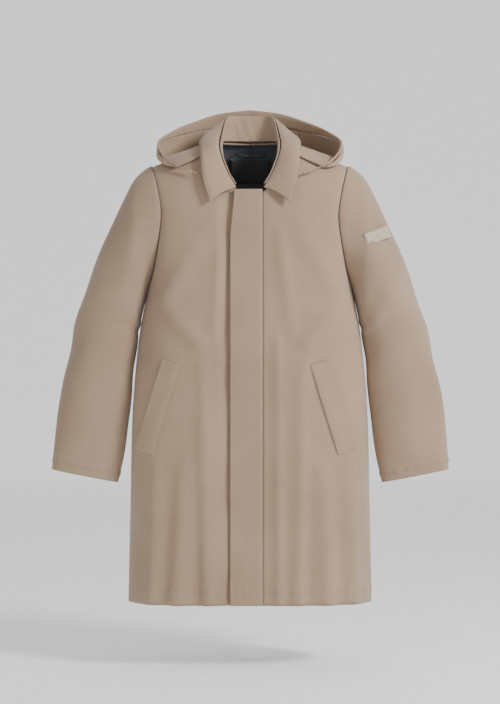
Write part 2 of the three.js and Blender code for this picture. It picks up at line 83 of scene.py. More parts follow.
def profile(pairs):
    xs = np.array([p[0] for p in pairs], float)
    ys = np.array([p[1] for p in pairs], float)
    slopes = np.empty(len(xs))
    for k in range(len(xs)):
        a, b = max(0, k - 1), min(len(xs) - 1, k + 1)
        slopes[k] = (ys[b] - ys[a]) / (xs[b] - xs[a])

    def value(at):
        at = np.clip(np.asarray(at, float), xs[0], xs[-1])
        i = np.clip(np.searchsorted(xs, at, side="right") - 1, 0, len(xs) - 2)
        h = xs[i + 1] - xs[i]
        t = (at - xs[i]) / h
        return ((1 + 2 * t) * (1 - t) ** 2 * ys[i] + t * (1 - t) ** 2 * h * slopes[i]
                + t * t * (3 - 2 * t) * ys[i + 1] + t * t * (t - 1) * h * slopes[i + 1])
    return value


waist = coat["chest"] - 34
bodyHalf = profile([
    (-coat["length"], coat["hem"]), (-748.6, 256), (-581.15, 252), (-430, 239),
    (-coat["armpit"], coat["chest"]), (-265, 202), (-170, waist),
    (-115, (waist + coat["shoulderHalf"]) / 2 - 4), (-coat["shoulderDrop"], coat["shoulderHalf"])])
bodyDepth = profile([(-coat["length"], 100), (-689.5, 98), (-335, 96), (-167.5, 88), (-105, 80), (0, 78)])


def ridge(x):
    out = (np.abs(x) - coat["neckHalf"]) / (coat["shoulderHalf"] - coat["neckHalf"])
    return -coat["shoulderDrop"] * np.maximum(0, out)


def bodyY(x, z, face):
    u = np.clip(np.abs(x) / bodyHalf(z), 0, 1)
    across = np.power(1 - u ** 3, 1 / 2.3)
    level = (coat["armpit"] - coat["armholeRise"] + z) / coat["armholeRise"]
    armhole = coat["armhole"] * smooth(1 + level) ** 0.7
    t = np.clip((ridge(x) - z) / coat["round"], 0, 1)
    rounded = np.sqrt(1 - (1 - t) ** 2)
    full = armhole + (bodyDepth(z) - armhole) * across
    start = 0
    if face > 0:
        start = coat["neckBack"] * np.sqrt(np.maximum(0, 1 - (x / coat["neckHalf"]) ** 2))
    return face * np.maximum(start + (full - start) * rounded, thinnest)


def bodyPoint(x, z, face):
    x, z = np.broadcast_arrays(np.asarray(x, float), np.asarray(z, float))
    return np.stack([x, bodyY(x, z, face), z], -1)


def unit(v):
    return v / np.maximum(np.linalg.norm(v, axis=-1, keepdims=True), 1e-9)


def bodyInward(p):
    heart = np.stack([p[..., 0] * 0.55, 0 * p[..., 0], np.minimum(p[..., 2], ridge(p[..., 0]) - 60)], -1)
    return unit(heart - p)


def curve(points):
    pts = np.array(points, float)

    def value(t):
        t = np.clip(np.asarray(t, float), 0, 1) * (len(pts) - 1)
        i = np.minimum(t.astype(int), len(pts) - 2)
        w = (t - i)[..., None]
        full = np.vstack([2 * pts[0] - pts[1], pts, 2 * pts[-1] - pts[-2]])
        a, b, c, d = full[i], full[i + 1], full[i + 2], full[i + 3]
        m0, m1 = 0.5 * (c - a), 0.5 * (d - b)
        return ((2 * w ** 3 - 3 * w ** 2 + 1) * b + (w ** 3 - 2 * w ** 2 + w) * m0
                + (3 * w ** 2 - 2 * w ** 3) * c + (w ** 3 - w ** 2) * m1)
    return value


def mirrored(line):
    def value(c):
        p = line(np.abs(c))
        p[..., 0] *= np.where(np.asarray(c) < 0, -1, 1)
        return p
    return value


def grid(nu, nv):
    return np.meshgrid(np.linspace(0, 1, nu + 1), np.linspace(0, 1, nv + 1))


def normals(p, towards):
    n = unit(np.cross(np.gradient(p, axis=1), np.gradient(p, axis=0)))
    sign = np.where((n * towards).sum(-1, keepdims=True) < 0, -1, 1)
    return n * sign


# A closed piece from a grid of outer points and one of inner points, in millimetres.
# keep says which cells stay, and closed joins the last column to the first.
def build(name, outer, inner, material, node, closed=False, keep=None,
          declared=True):
    name = name.replace(" ", "_")
    rows, cols = outer.shape[:2]
    count = rows * cols
    cells = cols if closed else cols - 1
    faces, edges = [], {}
    for j in range(rows - 1):
        for i in range(cells):
            if keep is not None and not keep[j, i]:
                continue
            k = (i + 1) % cols
            a, b, c, d = j * cols + i, j * cols + k, (j + 1) * cols + k, (j + 1) * cols + i
            faces += [(a, b, c, d), (count + d, count + c, count + b, count + a)]
            for e in ((a, b), (b, c), (c, d), (d, a)):
                if (e[1], e[0]) in edges:
                    del edges[(e[1], e[0])]
                else:
                    edges[e] = True
    faces += [(b, a, count + a, count + b) for a, b in edges]
    pts = np.concatenate([outer.reshape(-1, 3), inner.reshape(-1, 3)]) / toMetres
    used = sorted({v for f in faces for v in f})
    back = {v: n for n, v in enumerate(used)}
    faces = [tuple(back[v] for v in f) for f in faces]
    p = pts[used]
    volume = sum(np.dot(p[f[0]], np.cross(p[f[1]], p[f[2]]) + np.cross(p[f[2]], p[f[3]])) for f in faces)
    if volume < 0:
        faces = [f[::-1] for f in faces]
    mesh = bpy.data.meshes.new(name)
    mesh.from_pydata(p.tolist(), [], faces)
    step = np.linalg.norm(np.diff(outer, axis=1), axis=2).mean(0) / toMetres
    drop = np.linalg.norm(np.diff(outer, axis=0), axis=2).mean(1) / toMetres
    us, vs = np.concatenate([[0], np.cumsum(step)]), np.concatenate([[0], np.cumsum(drop)])
    flat = np.stack(np.meshgrid(us, vs), -1).reshape(-1, 2)
    flat = np.concatenate([flat, flat])[used]
    uv = mesh.uv_layers.new(name="cloth")
    index = np.empty(len(mesh.loops), int)
    mesh.loops.foreach_get("vertex_index", index)
    uv.data.foreach_set("uv", flat[index].ravel())
    mesh.polygons.foreach_set("use_smooth", [True] * len(mesh.polygons))
    mesh.update()
    piece = bpy.data.objects.new(name, mesh)
    bpy.context.collection.objects.link(piece)
    mesh.materials.append(material)
    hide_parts(*([node] if isinstance(node, str) else node))
    if not declared:
        return piece
    size = (float(us[-1]), float(vs[-1]))
    if closed:
        size = (size[0] + float(step.mean()), size[1])
    return piece


# Looks of the cloth, the lining and the trim.
def clothMaterial(name, dark, light, rough, weave, sheen, wear):
    m = bpy.data.materials.new(name)
    m.use_nodes = True
    t = m.node_tree
    n, link = t.nodes, t.links
    shader = n["Principled BSDF"]
    shader.inputs["Roughness"].default_value = rough
    shader.inputs["Sheen Weight"].default_value = sheen
    shader.inputs["Sheen Roughness"].default_value = 0.45
    shader.inputs["Specular IOR Level"].default_value = 0.22
    place = n.new("ShaderNodeUVMap")
    place.uv_map = "cloth"
    coords = n.new("ShaderNodeTexCoord")
    cloud = n.new("ShaderNodeTexNoise")
    cloud.inputs["Scale"].default_value = 5
    cloud.inputs["Detail"].default_value = 4
    link.new(coords.outputs["Object"], cloud.inputs["Vector"])
    fine = n.new("ShaderNodeTexNoise")
    fine.inputs["Scale"].default_value = 420
    fine.inputs["Detail"].default_value = 3
    link.new(place.outputs["UV"], fine.inputs["Vector"])
    blend = n.new("ShaderNodeMix")
    blend.inputs[0].default_value = 0.4
    link.new(cloud.outputs["Fac"], blend.inputs[2])
    link.new(fine.outputs["Fac"], blend.inputs[3])
    ramp = n.new("ShaderNodeValToRGB")
    ramp.color_ramp.elements[0].position = 0.5 - wear
    ramp.color_ramp.elements[1].position = 0.5 + wear
    ramp.color_ramp.elements[0].color = (*dark, 1)
    ramp.color_ramp.elements[1].color = (*light, 1)
    link.new(blend.outputs[0], ramp.inputs["Fac"])
    link.new(ramp.outputs["Color"], shader.inputs["Base Color"])
    total = None
    for direction in ("X", "Y"):
        wave = n.new("ShaderNodeTexWave")
        wave.bands_direction = direction
        wave.inputs["Scale"].default_value = weave
        wave.inputs["Distortion"].default_value = 0.6
        link.new(place.outputs["UV"], wave.inputs["Vector"])
        if total is None:
            total = wave.outputs["Fac"]
        else:
            add = n.new("ShaderNodeMath")
            add.operation = "ADD"
            link.new(total, add.inputs[0])
            link.new(wave.outputs["Fac"], add.inputs[1])
            total = add.outputs[0]
    crease = n.new("ShaderNodeTexNoise")
    crease.inputs["Scale"].default_value = 38
    crease.inputs["Detail"].default_value = 5
    link.new(coords.outputs["Object"], crease.inputs["Vector"])
    soft = n.new("ShaderNodeBump")
    soft.inputs["Strength"].default_value = 0.35
    soft.inputs["Distance"].default_value = 0.003
    link.new(crease.outputs["Fac"], soft.inputs["Height"])
    bump = n.new("ShaderNodeBump")
    bump.inputs["Strength"].default_value = 0.35
    bump.inputs["Distance"].default_value = 0.0003
    link.new(total, bump.inputs["Height"])
    link.new(soft.outputs["Normal"], bump.inputs["Normal"])
    link.new(bump.outputs["Normal"], shader.inputs["Normal"])
    return m


def linear(r, g, b):
    return tuple(((c / 255 + 0.055) / 1.055) ** 2.4 for c in (r, g, b))


cloth = clothMaterial("coat cloth", linear(152, 129, 108), linear(174, 150, 127), 0.78, 900, 0.25, 0.2)
# The sleeves use the coat cloth a few steps darker: painted shade on the sleeves, which are the same fabric
# as the body.
sleeveShadedCloth = clothMaterial("sleeve cloth", linear(149, 126, 106), linear(170, 147, 124), 0.78, 900, 0.25,
                            0.2)
liningCloth = clothMaterial("lining cloth", linear(76, 78, 82), linear(90, 92, 96), 0.45, 1500, 0.1, 0.2)
labelCloth = clothMaterial("label cloth", linear(62, 62, 63), linear(74, 74, 76), 0.6, 1300, 0.1, 0.2)
badgeCloth = clothMaterial("badge cloth", linear(176, 163, 148), linear(196, 184, 168), 0.7, 1300, 0.1, 0.2)
threadCloth = clothMaterial("sewing thread", linear(128, 109, 92), linear(148, 128, 108), 0.6, 3000, 0.2, 0.2)

# Broad folds: each is a long soft ridge or valley, in millimetres.
folds = {
    "front": [(158, -990, 150, -700, 22, 11), (98, -990, 112, -480, 16, 7.5), (214, -990, 206, -690, 18, 9),
              (60, -990, 56, -430, 12, 5), (120, -430, 200, -345, 20, 7), (178, -330, 110, -190, 22, 6),
              (60, -200, 90, -420, 16, 4.5)],
    "back": [(60, -980, 50, -520, 22, 4), (140, -980, 150, -600, 24, 5), (210, -980, 215, -700, 18, 4)],
}


def foldHeight(x, z, table, seed):
    h = 0 * x
    for k, (x0, z0, x1, z1, width, rise) in enumerate(table):
        t = np.clip(((x - x0) * (x1 - x0) + (z - z0) * (z1 - z0)) / ((x1 - x0) ** 2 + (z1 - z0) ** 2), 0, 1)
        d = np.hypot(x - lerp(x0, x1, t), z - lerp(z0, z1, t))
        h = h + rise * np.exp(-(d / width) ** 2) * (1 - 0.55 * t)
    h = h + 1.5 * (1 + np.sin(z / 41 + seed + x / 57)) * (1 + np.sin(x / 33 - z / 120 + 2 * seed)) / 2
    return h


def hemPucker(p, z0, size=0.9):
    near = np.exp(-((p[..., 2] - z0) / 14) ** 2)
    return near * size * (1 + np.sin(p[..., 0] / 2.6 + 1.5 * np.sin(p[..., 0] / 17)))


# Rows of the body, denser near the shoulder: the row, and its height at the outer and inner edge.
def rowsOf(v):
    hem, armpit = coat["hemRows"], coat["armpit"]
    row = v * coat["rows"]
    low = -coat["length"] + (coat["length"] - armpit) * (row / hem)
    turn = np.cos(np.pi * (row - hem) / (coat["rows"] - hem))
    half = (armpit - coat["shoulderDrop"]) / 2
    out = np.where(row <= hem, low, -armpit + half - half * turn)
    inside = np.where(row <= hem, low, -armpit * (1 + turn) / 2)
    return row, out, inside


pocketShape = {"left": 161, "right": 183, "lean": 59, "length": 198, "width": 38, "top": 469}
sides = {"left": 1, "right": -1}


def pocketXZ(name, along, inMm):
    z = -pocketShape["top"] - pocketShape["length"] * along * 0.955 - inMm * 0.3
    x = pocketShape[name] + pocketShape["lean"] * along - inMm * 0.955
    return np.minimum(x, bodyHalf(z) - 10 + np.maximum(0, -inMm) / 3), z


frontEdge = {"left": 27.5, "right": 4}


def frontPoints(name, start, extra):
    side = sides[name]
    u, v = grid(72, 150)
    row, zOut, zIn = rowsOf(v)
    down = np.clip(-zIn / coat["neckFront"], 0, 1)
    neckEdge = lerp(coat["foldTop"], coat["neckHalf"], np.sqrt(1 - down ** 2))
    step = smooth((zIn + coat["neckFront"] + coat["foldStep"]) / coat["foldStep"])
    xIn = np.where(zIn < -coat["neckFront"], lerp(frontEdge[name], coat["foldTop"], step), neckEdge)
    share = np.sin(u * np.pi / 2)
    x = lerp(xIn, bodyHalf(zOut) - 0.5 * (row > coat["hemRows"]), share)
    z = lerp(zIn, zOut, share)
    p = bodyPoint(side * x, z, -1)
    way = bodyInward(p)
    h = foldHeight(x + (12 if name == "right" else 0), z, folds["front"], 0.7 if name == "left" else 2.9)
    quiet = smooth((-z - 150) / 130) * smooth((x - 30) / 30) * smooth((bodyHalf(z) - x) / 25)
    pocketAway = 1 - 0.8 * np.exp(-((z + 570) / 120) ** 2 - ((x - 165) / 50) ** 2)
    h = 1.35 * h * quiet * pocketAway + hemPucker(p, -coat["hemStitch"]) * quiet
    if name == "right":
        under = lerp(0, 8.4, smooth((p[..., 0] + 72) / 24))
    else:
        under = 0 * x
    start = start + under - extra * h
    return p + way * start[..., None], way, x, z


def cells(a):
    return (a[1:, 1:] + a[:-1, :-1]) / 2


for name, side in sides.items():
    outer, way, x, z = frontPoints(name, 0, 1)
    cx, cz = cells(x), cells(z)
    along = (-cz - pocketShape["top"]) / (pocketShape["length"] * 0.955)
    inMm = (pocketShape[name] + pocketShape["lean"] * along - cx) / 0.955
    keep = ~((along > 0.1) & (along < 0.9) & (inMm > 6) & (inMm < 20))
    panel = build(f"{name} front panel", outer, outer + way * coat["cloth"], cloth,
                  [f"{name}_front", f"{name}_front_edge"], keep=keep)
    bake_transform(panel)
    inside, way, x, z = frontPoints(name, 4.9, 0)
    lined = 4.5 + 10.6 * smooth(((-z - 469) / 189 + 0.78) / 0.45) * smooth((1.8 - (-z - 469) / 189) / 0.45)
    inside = inside + way * (lined - 4.5)[..., None] * smooth((x - 100) / 40)[..., None]
    liner = build(f"{name} front lining", inside, inside + way * coat["lining"], liningCloth,
                  [f"lining_{name}_front", f"{name}_facing"])
    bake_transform(liner)
    print("front", name)

    u, v = grid(70, 140)
    row, zOut, zIn = rowsOf(v)
    share = np.sin(u * np.pi / 2)
    x = lerp(0.25, bodyHalf(zOut) - 0.5 * (row > coat["hemRows"]), share)
    lift = (ridge(x) - lerp(0, -coat["shoulderDrop"], share)) * np.clip(row - coat["rows"] + 4, 0, 4) / 4
    z = lerp(zIn, zOut, share) + lift
    p = bodyPoint(side * x, z, 1)
    way = bodyInward(p)
    h = foldHeight(x, z, folds["back"], 1.3 + side) * smooth((-z - 170) / 130) * smooth(x / 18)
    h = h * smooth((bodyHalf(z) - x) / 25) + hemPucker(p, -coat["hemStitch"]) - 1.2 * np.exp(-(x / 3) ** 2)
    outer = p - way * h[..., None]
    back = build(f"{name} back panel", outer, p + way * coat["cloth"], cloth, f"{name}_back")
    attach(back, "shell")
    inner = p + way * coat["liningStart"]
    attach(build(f"{name} back lining", inner, inner + way * coat["lining"], liningCloth,
                  f"lining_{name}_back"), "shell")
    print("back", name)

    u, v = grid(16, 60)
    x, z = pocketXZ(name, v, u * pocketShape["width"])
    p = bodyPoint(side * x, z, -1)
    way = bodyInward(p)
    rim = 1 - (2 * u - 1) ** 6
    puff = 1.6 + 1.5 * rim * (1 - (2 * v - 1) ** 14)
    puff = puff + 0.3 * np.sin(v * 150) * np.exp(-((u - 0.16) / 0.08) ** 2)
    puff = puff + 2.2 * smooth(1 - u * 4)
    welt = build(f"{name} pocket welt", p - way * (puff + 1.2)[..., None], p - way * 1.0, cloth,
                 f"{name}_pocket_welt")
    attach(welt, f"{name}_pocket")
    u, v = grid(14, 26)
    x, z = pocketXZ(name, lerp(-0.04, 1.17, v), lerp(-3, 65, u))
    p = bodyPoint(side * x, z, -1)
    way = bodyInward(p)
    bag = build(f"{name} pocket bag", p + way * 6.2, p + way * 13, liningCloth, f"{name}_pocket_bag")
    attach(bag, "shell")

# The fly, its strip, and the shadowed step beside its free edge.
u, v = grid(24, 190)
z = lerp(-985, -109, v)
flyEdge = -42 + 8 * smooth((z + 109 + 110) / 110)
p = bodyPoint(lerp(flyEdge, 26.6, u), z, -1)
way = bodyInward(p)
puff = 1.3 + 0.8 * np.sin(np.pi * u) + 0.5 * np.sin(z / 23 + 2 * np.sin(z / 71)) * smooth(1 - u * 2)
puff = puff * smooth((1 - u) * 14) + hemPucker(p, -coat["hemStitch"], 0.4)
flap = build("fly flap", p - way * puff[..., None], p + way * 2.2, cloth, "fly_flap")
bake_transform(flap)
p = bodyPoint(lerp(flyEdge + 3, 27, u), z, -1)
way = bodyInward(p)
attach(build("fly strip", p + way * 2.9, p + way * 4.4, cloth, "fly_strip"), "left_front_swing")
print("fly")

# Sleeves: one seamless tube each, with its lining.
elbowOut, elbowIn = (374, 0, -395), (243, 0, -418)
upperOut = curve([
    (209, 0, -55), (238, 0, -67), (262, 0, -108), (297, 0, -182), (329, 0, -256), (355, 0, -331), elbowOut])
upperIn = curve([
    (223, 0, -336), (226, 0, -350), (229, 0, -362), (232, 0, -376), (235, 0, -390), (239, 0, -404), elbowIn])
lowerOut = curve([elbowOut, (392, 0, -482), (409, 0, -558), (418, 0, -633), (425, 0, -704)])
lowerIn = curve([elbowIn, (251, 0, -500), (259, 0, -590), (269, 0, -668), (283, 0, -732)])
upperDepth = profile([(0, 58), (0.4, 60), (1, 44)])
lowerDepth = profile([(0, 44), (0.5, 36), (1, 24)])
sleeveFolds = {"left": [(0.18, 0.2, 1.7, 10), (0.31, 0.52, 2.2, 7), (0.1, 0.75, 1.6, 6)],
               "right": [(0.3, 0.3, 2.0, 8), (0.16, 0.62, 1.9, 8), (0.22, 0.1, 1.5, 5)]}


def sleevePoints(name, around, rows):
    a, s = np.meshgrid(np.arange(around) / around, np.linspace(0, 1, rows + 1))
    upper = s < 0.5
    su, sl = np.clip(s * 2, 0, 1), np.clip(s * 2 - 1, 0, 1)
    out = np.where(upper[..., None], upperOut(su), lowerOut(sl))
    ins = np.where(upper[..., None], upperIn(su), lowerIn(sl))
    depth = np.where(upper, upperDepth(su), lowerDepth(sl))
    angle = 2 * np.pi * a
    share = (1 + np.cos(angle)) / 2
    p = lerp(ins, out, share[..., None])
    face = np.where(a <= 0.5, -1, 1)
    p[..., 1] = face * np.maximum(np.abs(np.sin(angle)) ** 0.9 * depth, thinnest)
    weight = (1 - smooth(su / 0.3)) * upper
    z = lerp(-coat["armpit"], -coat["shoulderDrop"], share)
    edge = bodyHalf(z) + 0.5
    ring = np.where((face < 0)[..., None], bodyPoint(edge, z, -1), bodyPoint(edge, z, 1))
    p = lerp(p, ring, weight[..., None])
    centre = lerp(ins, out, 0.5)
    heart = np.stack([lerp(centre[..., 0], p[..., 0], 0.6), 0 * s, lerp(centre[..., 2], p[..., 2], 0.6)], -1)
    way = unit(heart - p)
    p[..., 0] *= sides[name]
    way[..., 0] *= sides[name]
    return p, way, a, s


for name, side in sides.items():
    p, way, a, s = sleevePoints(name, 84, 210)
    h = 1.8 * (1 + np.sin(s * 34 + 3 * np.sin(a * 6.3 + side))) * np.exp(-((s - 0.5) / 0.2) ** 2)
    for at, turn, width, rise in sleeveFolds[name]:
        across = (a - at - 0.05 * np.sin(s * 5 + side)) * 22 / width
        h = h + rise * np.exp(-across ** 2) * np.sin(np.pi * np.clip((s - turn + 0.4) / 0.9, 0, 1))
    h = h + 1.1 * np.exp(-((s - 0.965) / 0.012) ** 2) * (1 + np.sin(a * 180 + 3 * np.sin(a * 30)))
    h = h - 1.6 * np.exp(-((s - 0.012) / 0.01) ** 2) + 2.2 * np.exp(-((s - 0.05) / 0.03) ** 2)
    h = h * smooth(s / 0.02)
    shells = [f"{name}_sleeve_{part}_{face}" for part in ("upper", "lower") for face in ("front", "back")]
    sleeve = build(f"{name} sleeve", p - way * h[..., None], p + way * coat["cloth"], sleeveShadedCloth, shells,
                   closed=True)
    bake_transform(sleeve)
    inner = p + way * coat["liningStart"]
    linings = [f"{name}_sleeve_lining_{part}" for part in ("upper", "lower")]
    lined = build(f"{name} sleeve lining", inner, inner + way * coat["lining"], liningCloth, linings,
                  closed=True)
    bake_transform(lined)
    print("sleeve", name)

# The collar.
roll = mirrored(curve([
    (0, 58, 60), (30, 54, 60), (50, 34, 55), (60, -8, 17), (63, -52, -21), (48, -69, -68), (28, -80, -105)]))
neck = mirrored(curve([
    (0, 41, 3), (32, 37, 3), (52, 23, 2), (60, -8, -4), (58, -46, -38), (43, -61, -80), (26, -75, -104)]))
fall = mirrored(curve([
    (0, 86, 4), (40, 84, 4), (80, 62, 5), (107, 12, 5), (106, -54, -26), (100, -88, -80), (84, -98, -137)]))
u, v = grid(150, 24)
c = lerp(-0.96, 0.96, u)
p = lerp(neck(c), roll(c), v[..., None])
way = normals(p, np.stack([-p[..., 0], -10 - p[..., 1], 0 * u], -1))
wrinkle = 0.9 * np.sin(c * 31 + 3 * np.sin(c * 9 + v * 2)) * np.sin(np.pi * v) ** 0.7
stand = build("collar stand", p, p + way * (2.4 + wrinkle)[..., None], cloth, "collar_stand")
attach(stand, "shell")


def fallPoints(c, v):
    start, end = roll(c), fall(c)
    away = unit(np.stack([start[..., 0], start[..., 1] + 10, 0 * c], -1))
    start = start + away * 2.9
    crest = lerp(start, end, 0.5) + away * 6
    crest[..., 2] += 16 * (1 - np.abs(c) / 2)
    w = v[..., None]
    return lerp(lerp(start, crest, w), lerp(crest, end, w), w)


for name, side in sides.items():
    u, v = grid(110, 44)
    c = side * lerp(0.0008, 1, u)
    p = fallPoints(c, v)
    way = normals(p, np.stack([-p[..., 0], -10 - p[..., 1], 0 * u], -1))
    edge = np.minimum(np.minimum(v, 1 - v) * 6, (1 - u) * 16)
    puff = 1.5 * smooth(edge) + 0.5 * np.sin(u * 13 + v * 5 + side) * smooth(edge)
    nodes = [f"collar_leaf_{name}"] + (["collar_back_fall"] if side > 0 else [])
    leaf = build(f"{name} collar fall", p - way * puff[..., None], p + way * 2.2, cloth, nodes)
    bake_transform(leaf)
print("collar")

# The hood.
hoodLines = [
    # neck seam, middle of the base, fold, fullest line of the wall, and rim
    [(0, 51, 7), (38, 47, 7), (68, 32, 3), (80, 12, 0), (86, -14, -5), (88, -42, -22), (86, -74, -62)],
    [(0, 92, -52), (58, 88, -44), (100, 66, -34), (126, 42, -31), (138, 10, -25), (126, -46, -41),
     (92, -78, -70)],
    [(0, 120, -118), (74, 122, -106), (132, 108, -86), (170, 76, -58), (196, 16, -38), (172, -46, -58),
     (94, -84, -78)],
    [(0, 144, -30), (72, 140, -26), (138, 104, -22), (178, 72, -16), (199, 10, -18), (184, -48, -50),
     (96, -85, -80)],
    [(0, 114, 81), (66, 108, 72), (122, 88, 52), (168, 56, 28), (196, -2, -4), (166, -54, -50),
     (99, -86, -82)],
]
neckAt, midAt, foldAt, bulgeAt, rimAt = [mirrored(curve(k)) for k in hoodLines]


def bend(a, b, c, v):
    v = v[..., None]
    return lerp(lerp(a, b, v), lerp(b, c, v), v)


u, v = grid(120, 30)
c = lerp(-0.87, 0.87, u)
p = bend(neckAt(c), midAt(c), foldAt(c), v * 0.985)
way = normals(p, np.stack([p[..., 0] * 0.2, 30 + 0 * u, 100 + 0 * u], -1))
swell = 1.2 * np.sin(c * 19 + v * 4) * np.sin(np.pi * v)
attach(build("hood base", p, p + way * (3 + swell)[..., None], cloth, "hood_base"), "shell")
panels = [
    ("hood center panel", -0.27, 0.27, 60),
    ("hood left panel", 0.271, 0.87, 70),
    ("hood right panel", -0.87, -0.271, 70),
]
for title, a, b, steps in panels:
    u, v = grid(steps, 44)
    c = lerp(a, b, u)
    tall = np.linalg.norm(foldAt(c) - rimAt(c), axis=-1)
    p = bend(foldAt(c), bulgeAt(c), rimAt(c), lerp(0.03 + 1.5 / tall, 0.84 - (0.3 + 3 * c * c) / tall, v))
    way = normals(p, np.stack([p[..., 0], p[..., 1] - 40, 0 * u], -1))
    seam = np.minimum(np.minimum(u, 1 - u) * 12, np.minimum(v, 1 - v) * 8)
    puff = 2.2 * smooth(seam) + 0.8 * np.sin(c * 17 + v * 3)
    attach(build(title, p + way * (puff + 1.2)[..., None], p - way * 1.6, cloth,
                  title.replace(" ", "_")), "hood")
u, v = grid(260, 14)
c = lerp(-0.97, 0.97, u)
p = bend(foldAt(c), bulgeAt(c), rimAt(c), lerp(0.84, 1, v))
way = normals(p, np.stack([p[..., 0], p[..., 1] - 40, 0 * u], -1))
pucker = 0.5 * np.sin(c * 190 + 3 * np.sin(c * 23)) * np.exp(-((v - 0.2) / 0.2) ** 2)
puff = 1.4 * smooth(np.minimum(v, 1 - v) * 5)
full = (puff + pucker)[..., None]
band = build("hood hem band", p + way * (1.6 + full), p - way * (1.2 + full), cloth, "hood_hem_band")
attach(band, "hood")
print("hood")

# Labels, hanger loop and badge.
trim = {"liningFace": 10.1}


def neckPatch(title, node, half, top, bottom, start, thick, material):
    u, v = grid(36, 24)
    p = bodyPoint(lerp(-half, half, u), lerp(-bottom, -top, v), 1)
    way = bodyInward(p)
    edge = np.minimum(np.minimum(u, 1 - u), np.minimum(v, 1 - v)) * 14
    puff = thick * smooth(edge) + 0.25 * np.sin(u * 19 + v * 7)
    piece = build(title, p + way * (start + 0.4 + puff)[..., None], p + way * start, material, node)
    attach(piece, "shell")


neckPatch("label patch", "label_patch", 48, 27, 97, trim["liningFace"], 1.0, liningCloth)
neckPatch("neck label", "neck_label", 45, 30, 85, trim["liningFace"] + 2.2, 0.7, labelCloth)
u, v = grid(60, 6)
p = bodyPoint(lerp(-35, 35, u), lerp(-17, -12, v), 1)
way = bodyInward(p)
p = p + way * (10 * (1 - (2 * u - 1) ** 4) + trim["liningFace"] - 0.4)[..., None]
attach(build("hanger loop", p, p + way * 1.4, liningCloth, "hanger_loop",
              declared=False), "shell")
u, v = grid(30, 16)
badgeShape = {"length": 57, "height": 26, "x": 268, "y": -55.7, "z": -206, "turn": 0.36}
turnCos, turnSin = math.cos(badgeShape["turn"]), math.sin(badgeShape["turn"])
across, up = (u - 0.5) * badgeShape["length"], (v - 0.5) * badgeShape["height"]
x = badgeShape["x"] + (across * turnCos - up * turnSin) * turnCos
z = badgeShape["z"] + across * turnSin + up * turnCos
y = badgeShape["y"] + (x - badgeShape["x"]) * turnSin / turnCos
p = np.stack([x, y, z], -1)
way = np.broadcast_to(np.array([0.352, -0.936, 0]), p.shape)
puff = 1.4 * smooth(np.minimum(np.minimum(u, 1 - u) * 12, np.minimum(v, 1 - v) * 8))
badge = build("sleeve badge", p + way * (6.5 + puff)[..., None], p - way * 0.6, badgeCloth,
              "sleeve_badge")
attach(badge, "shell")
print("trim")


# Stitches: one small thread shape set along each seam line by geometry nodes.
def stitchTree():
    tree = bpy.data.node_groups.new("stitch row", "GeometryNodeTree")
    face = tree.interface
    face.new_socket("Geometry", in_out="INPUT", socket_type="NodeSocketGeometry")
    spacing = face.new_socket("Spacing", in_out="INPUT", socket_type="NodeSocketFloat")
    length = face.new_socket("Stitch Length", in_out="INPUT", socket_type="NodeSocketFloat")
    width = face.new_socket("Thread Width", in_out="INPUT", socket_type="NodeSocketFloat")
    seed = face.new_socket("Seed", in_out="INPUT", socket_type="NodeSocketInt")
    face.new_socket("Geometry", in_out="OUTPUT", socket_type="NodeSocketGeometry")
    for socket, value in ((spacing, 0.0036), (length, 0.0028), (width, 0.0005), (seed, 4)):
        socket.default_value = value
    n, link = tree.nodes, tree.links
    given, out = n.new("NodeGroupInput"), n.new("NodeGroupOutput")
    path = n.new("GeometryNodeMeshToCurve")
    even = n.new("GeometryNodeResampleCurve")
    even.mode = "LENGTH"
    put = n.new("GeometryNodeInstanceOnPoints")
    thread = n.new("GeometryNodeMeshIcoSphere")
    thread.inputs["Radius"].default_value = 0.5
    thread.inputs["Subdivisions"].default_value = 1
    tangent = n.new("GeometryNodeInputTangent")
    turn = n.new("FunctionNodeAlignEulerToVector")
    turn.axis = "X"
    size = n.new("ShaderNodeCombineXYZ")
    vary = n.new("FunctionNodeRandomValue")
    vary.inputs[2].default_value, vary.inputs[3].default_value = 0.88, 1.08
    scaled = n.new("ShaderNodeMath")
    scaled.operation = "MULTIPLY"
    real = n.new("GeometryNodeRealizeInstances")
    paint = n.new("GeometryNodeSetMaterial")
    paint.inputs["Material"].default_value = threadCloth
    link.new(given.outputs["Geometry"], path.inputs["Mesh"])
    link.new(path.outputs["Curve"], even.inputs["Curve"])
    link.new(given.outputs["Spacing"], even.inputs["Length"])
    link.new(even.outputs["Curve"], put.inputs["Points"])
    link.new(thread.outputs["Mesh"], put.inputs["Instance"])
    link.new(tangent.outputs["Tangent"], turn.inputs["Vector"])
    link.new(turn.outputs["Rotation"], put.inputs["Rotation"])
    link.new(given.outputs["Seed"], vary.inputs["Seed"])
    link.new(vary.outputs[1], scaled.inputs[0])
    link.new(given.outputs["Stitch Length"], scaled.inputs[1])
    link.new(scaled.outputs[0], size.inputs[0])
    link.new(given.outputs["Thread Width"], size.inputs[1])
    link.new(given.outputs["Thread Width"], size.inputs[2])
    link.new(size.outputs[0], put.inputs["Scale"])
    link.new(put.outputs["Instances"], real.inputs["Geometry"])
    link.new(real.outputs["Geometry"], paint.inputs["Geometry"])
    link.new(paint.outputs["Geometry"], out.inputs["Geometry"])
    named = {"spacing": spacing, "length": length, "width": width, "seed": seed}
    return tree, {key: socket.identifier for key, socket in named.items()}


tree, sockets = stitchTree()


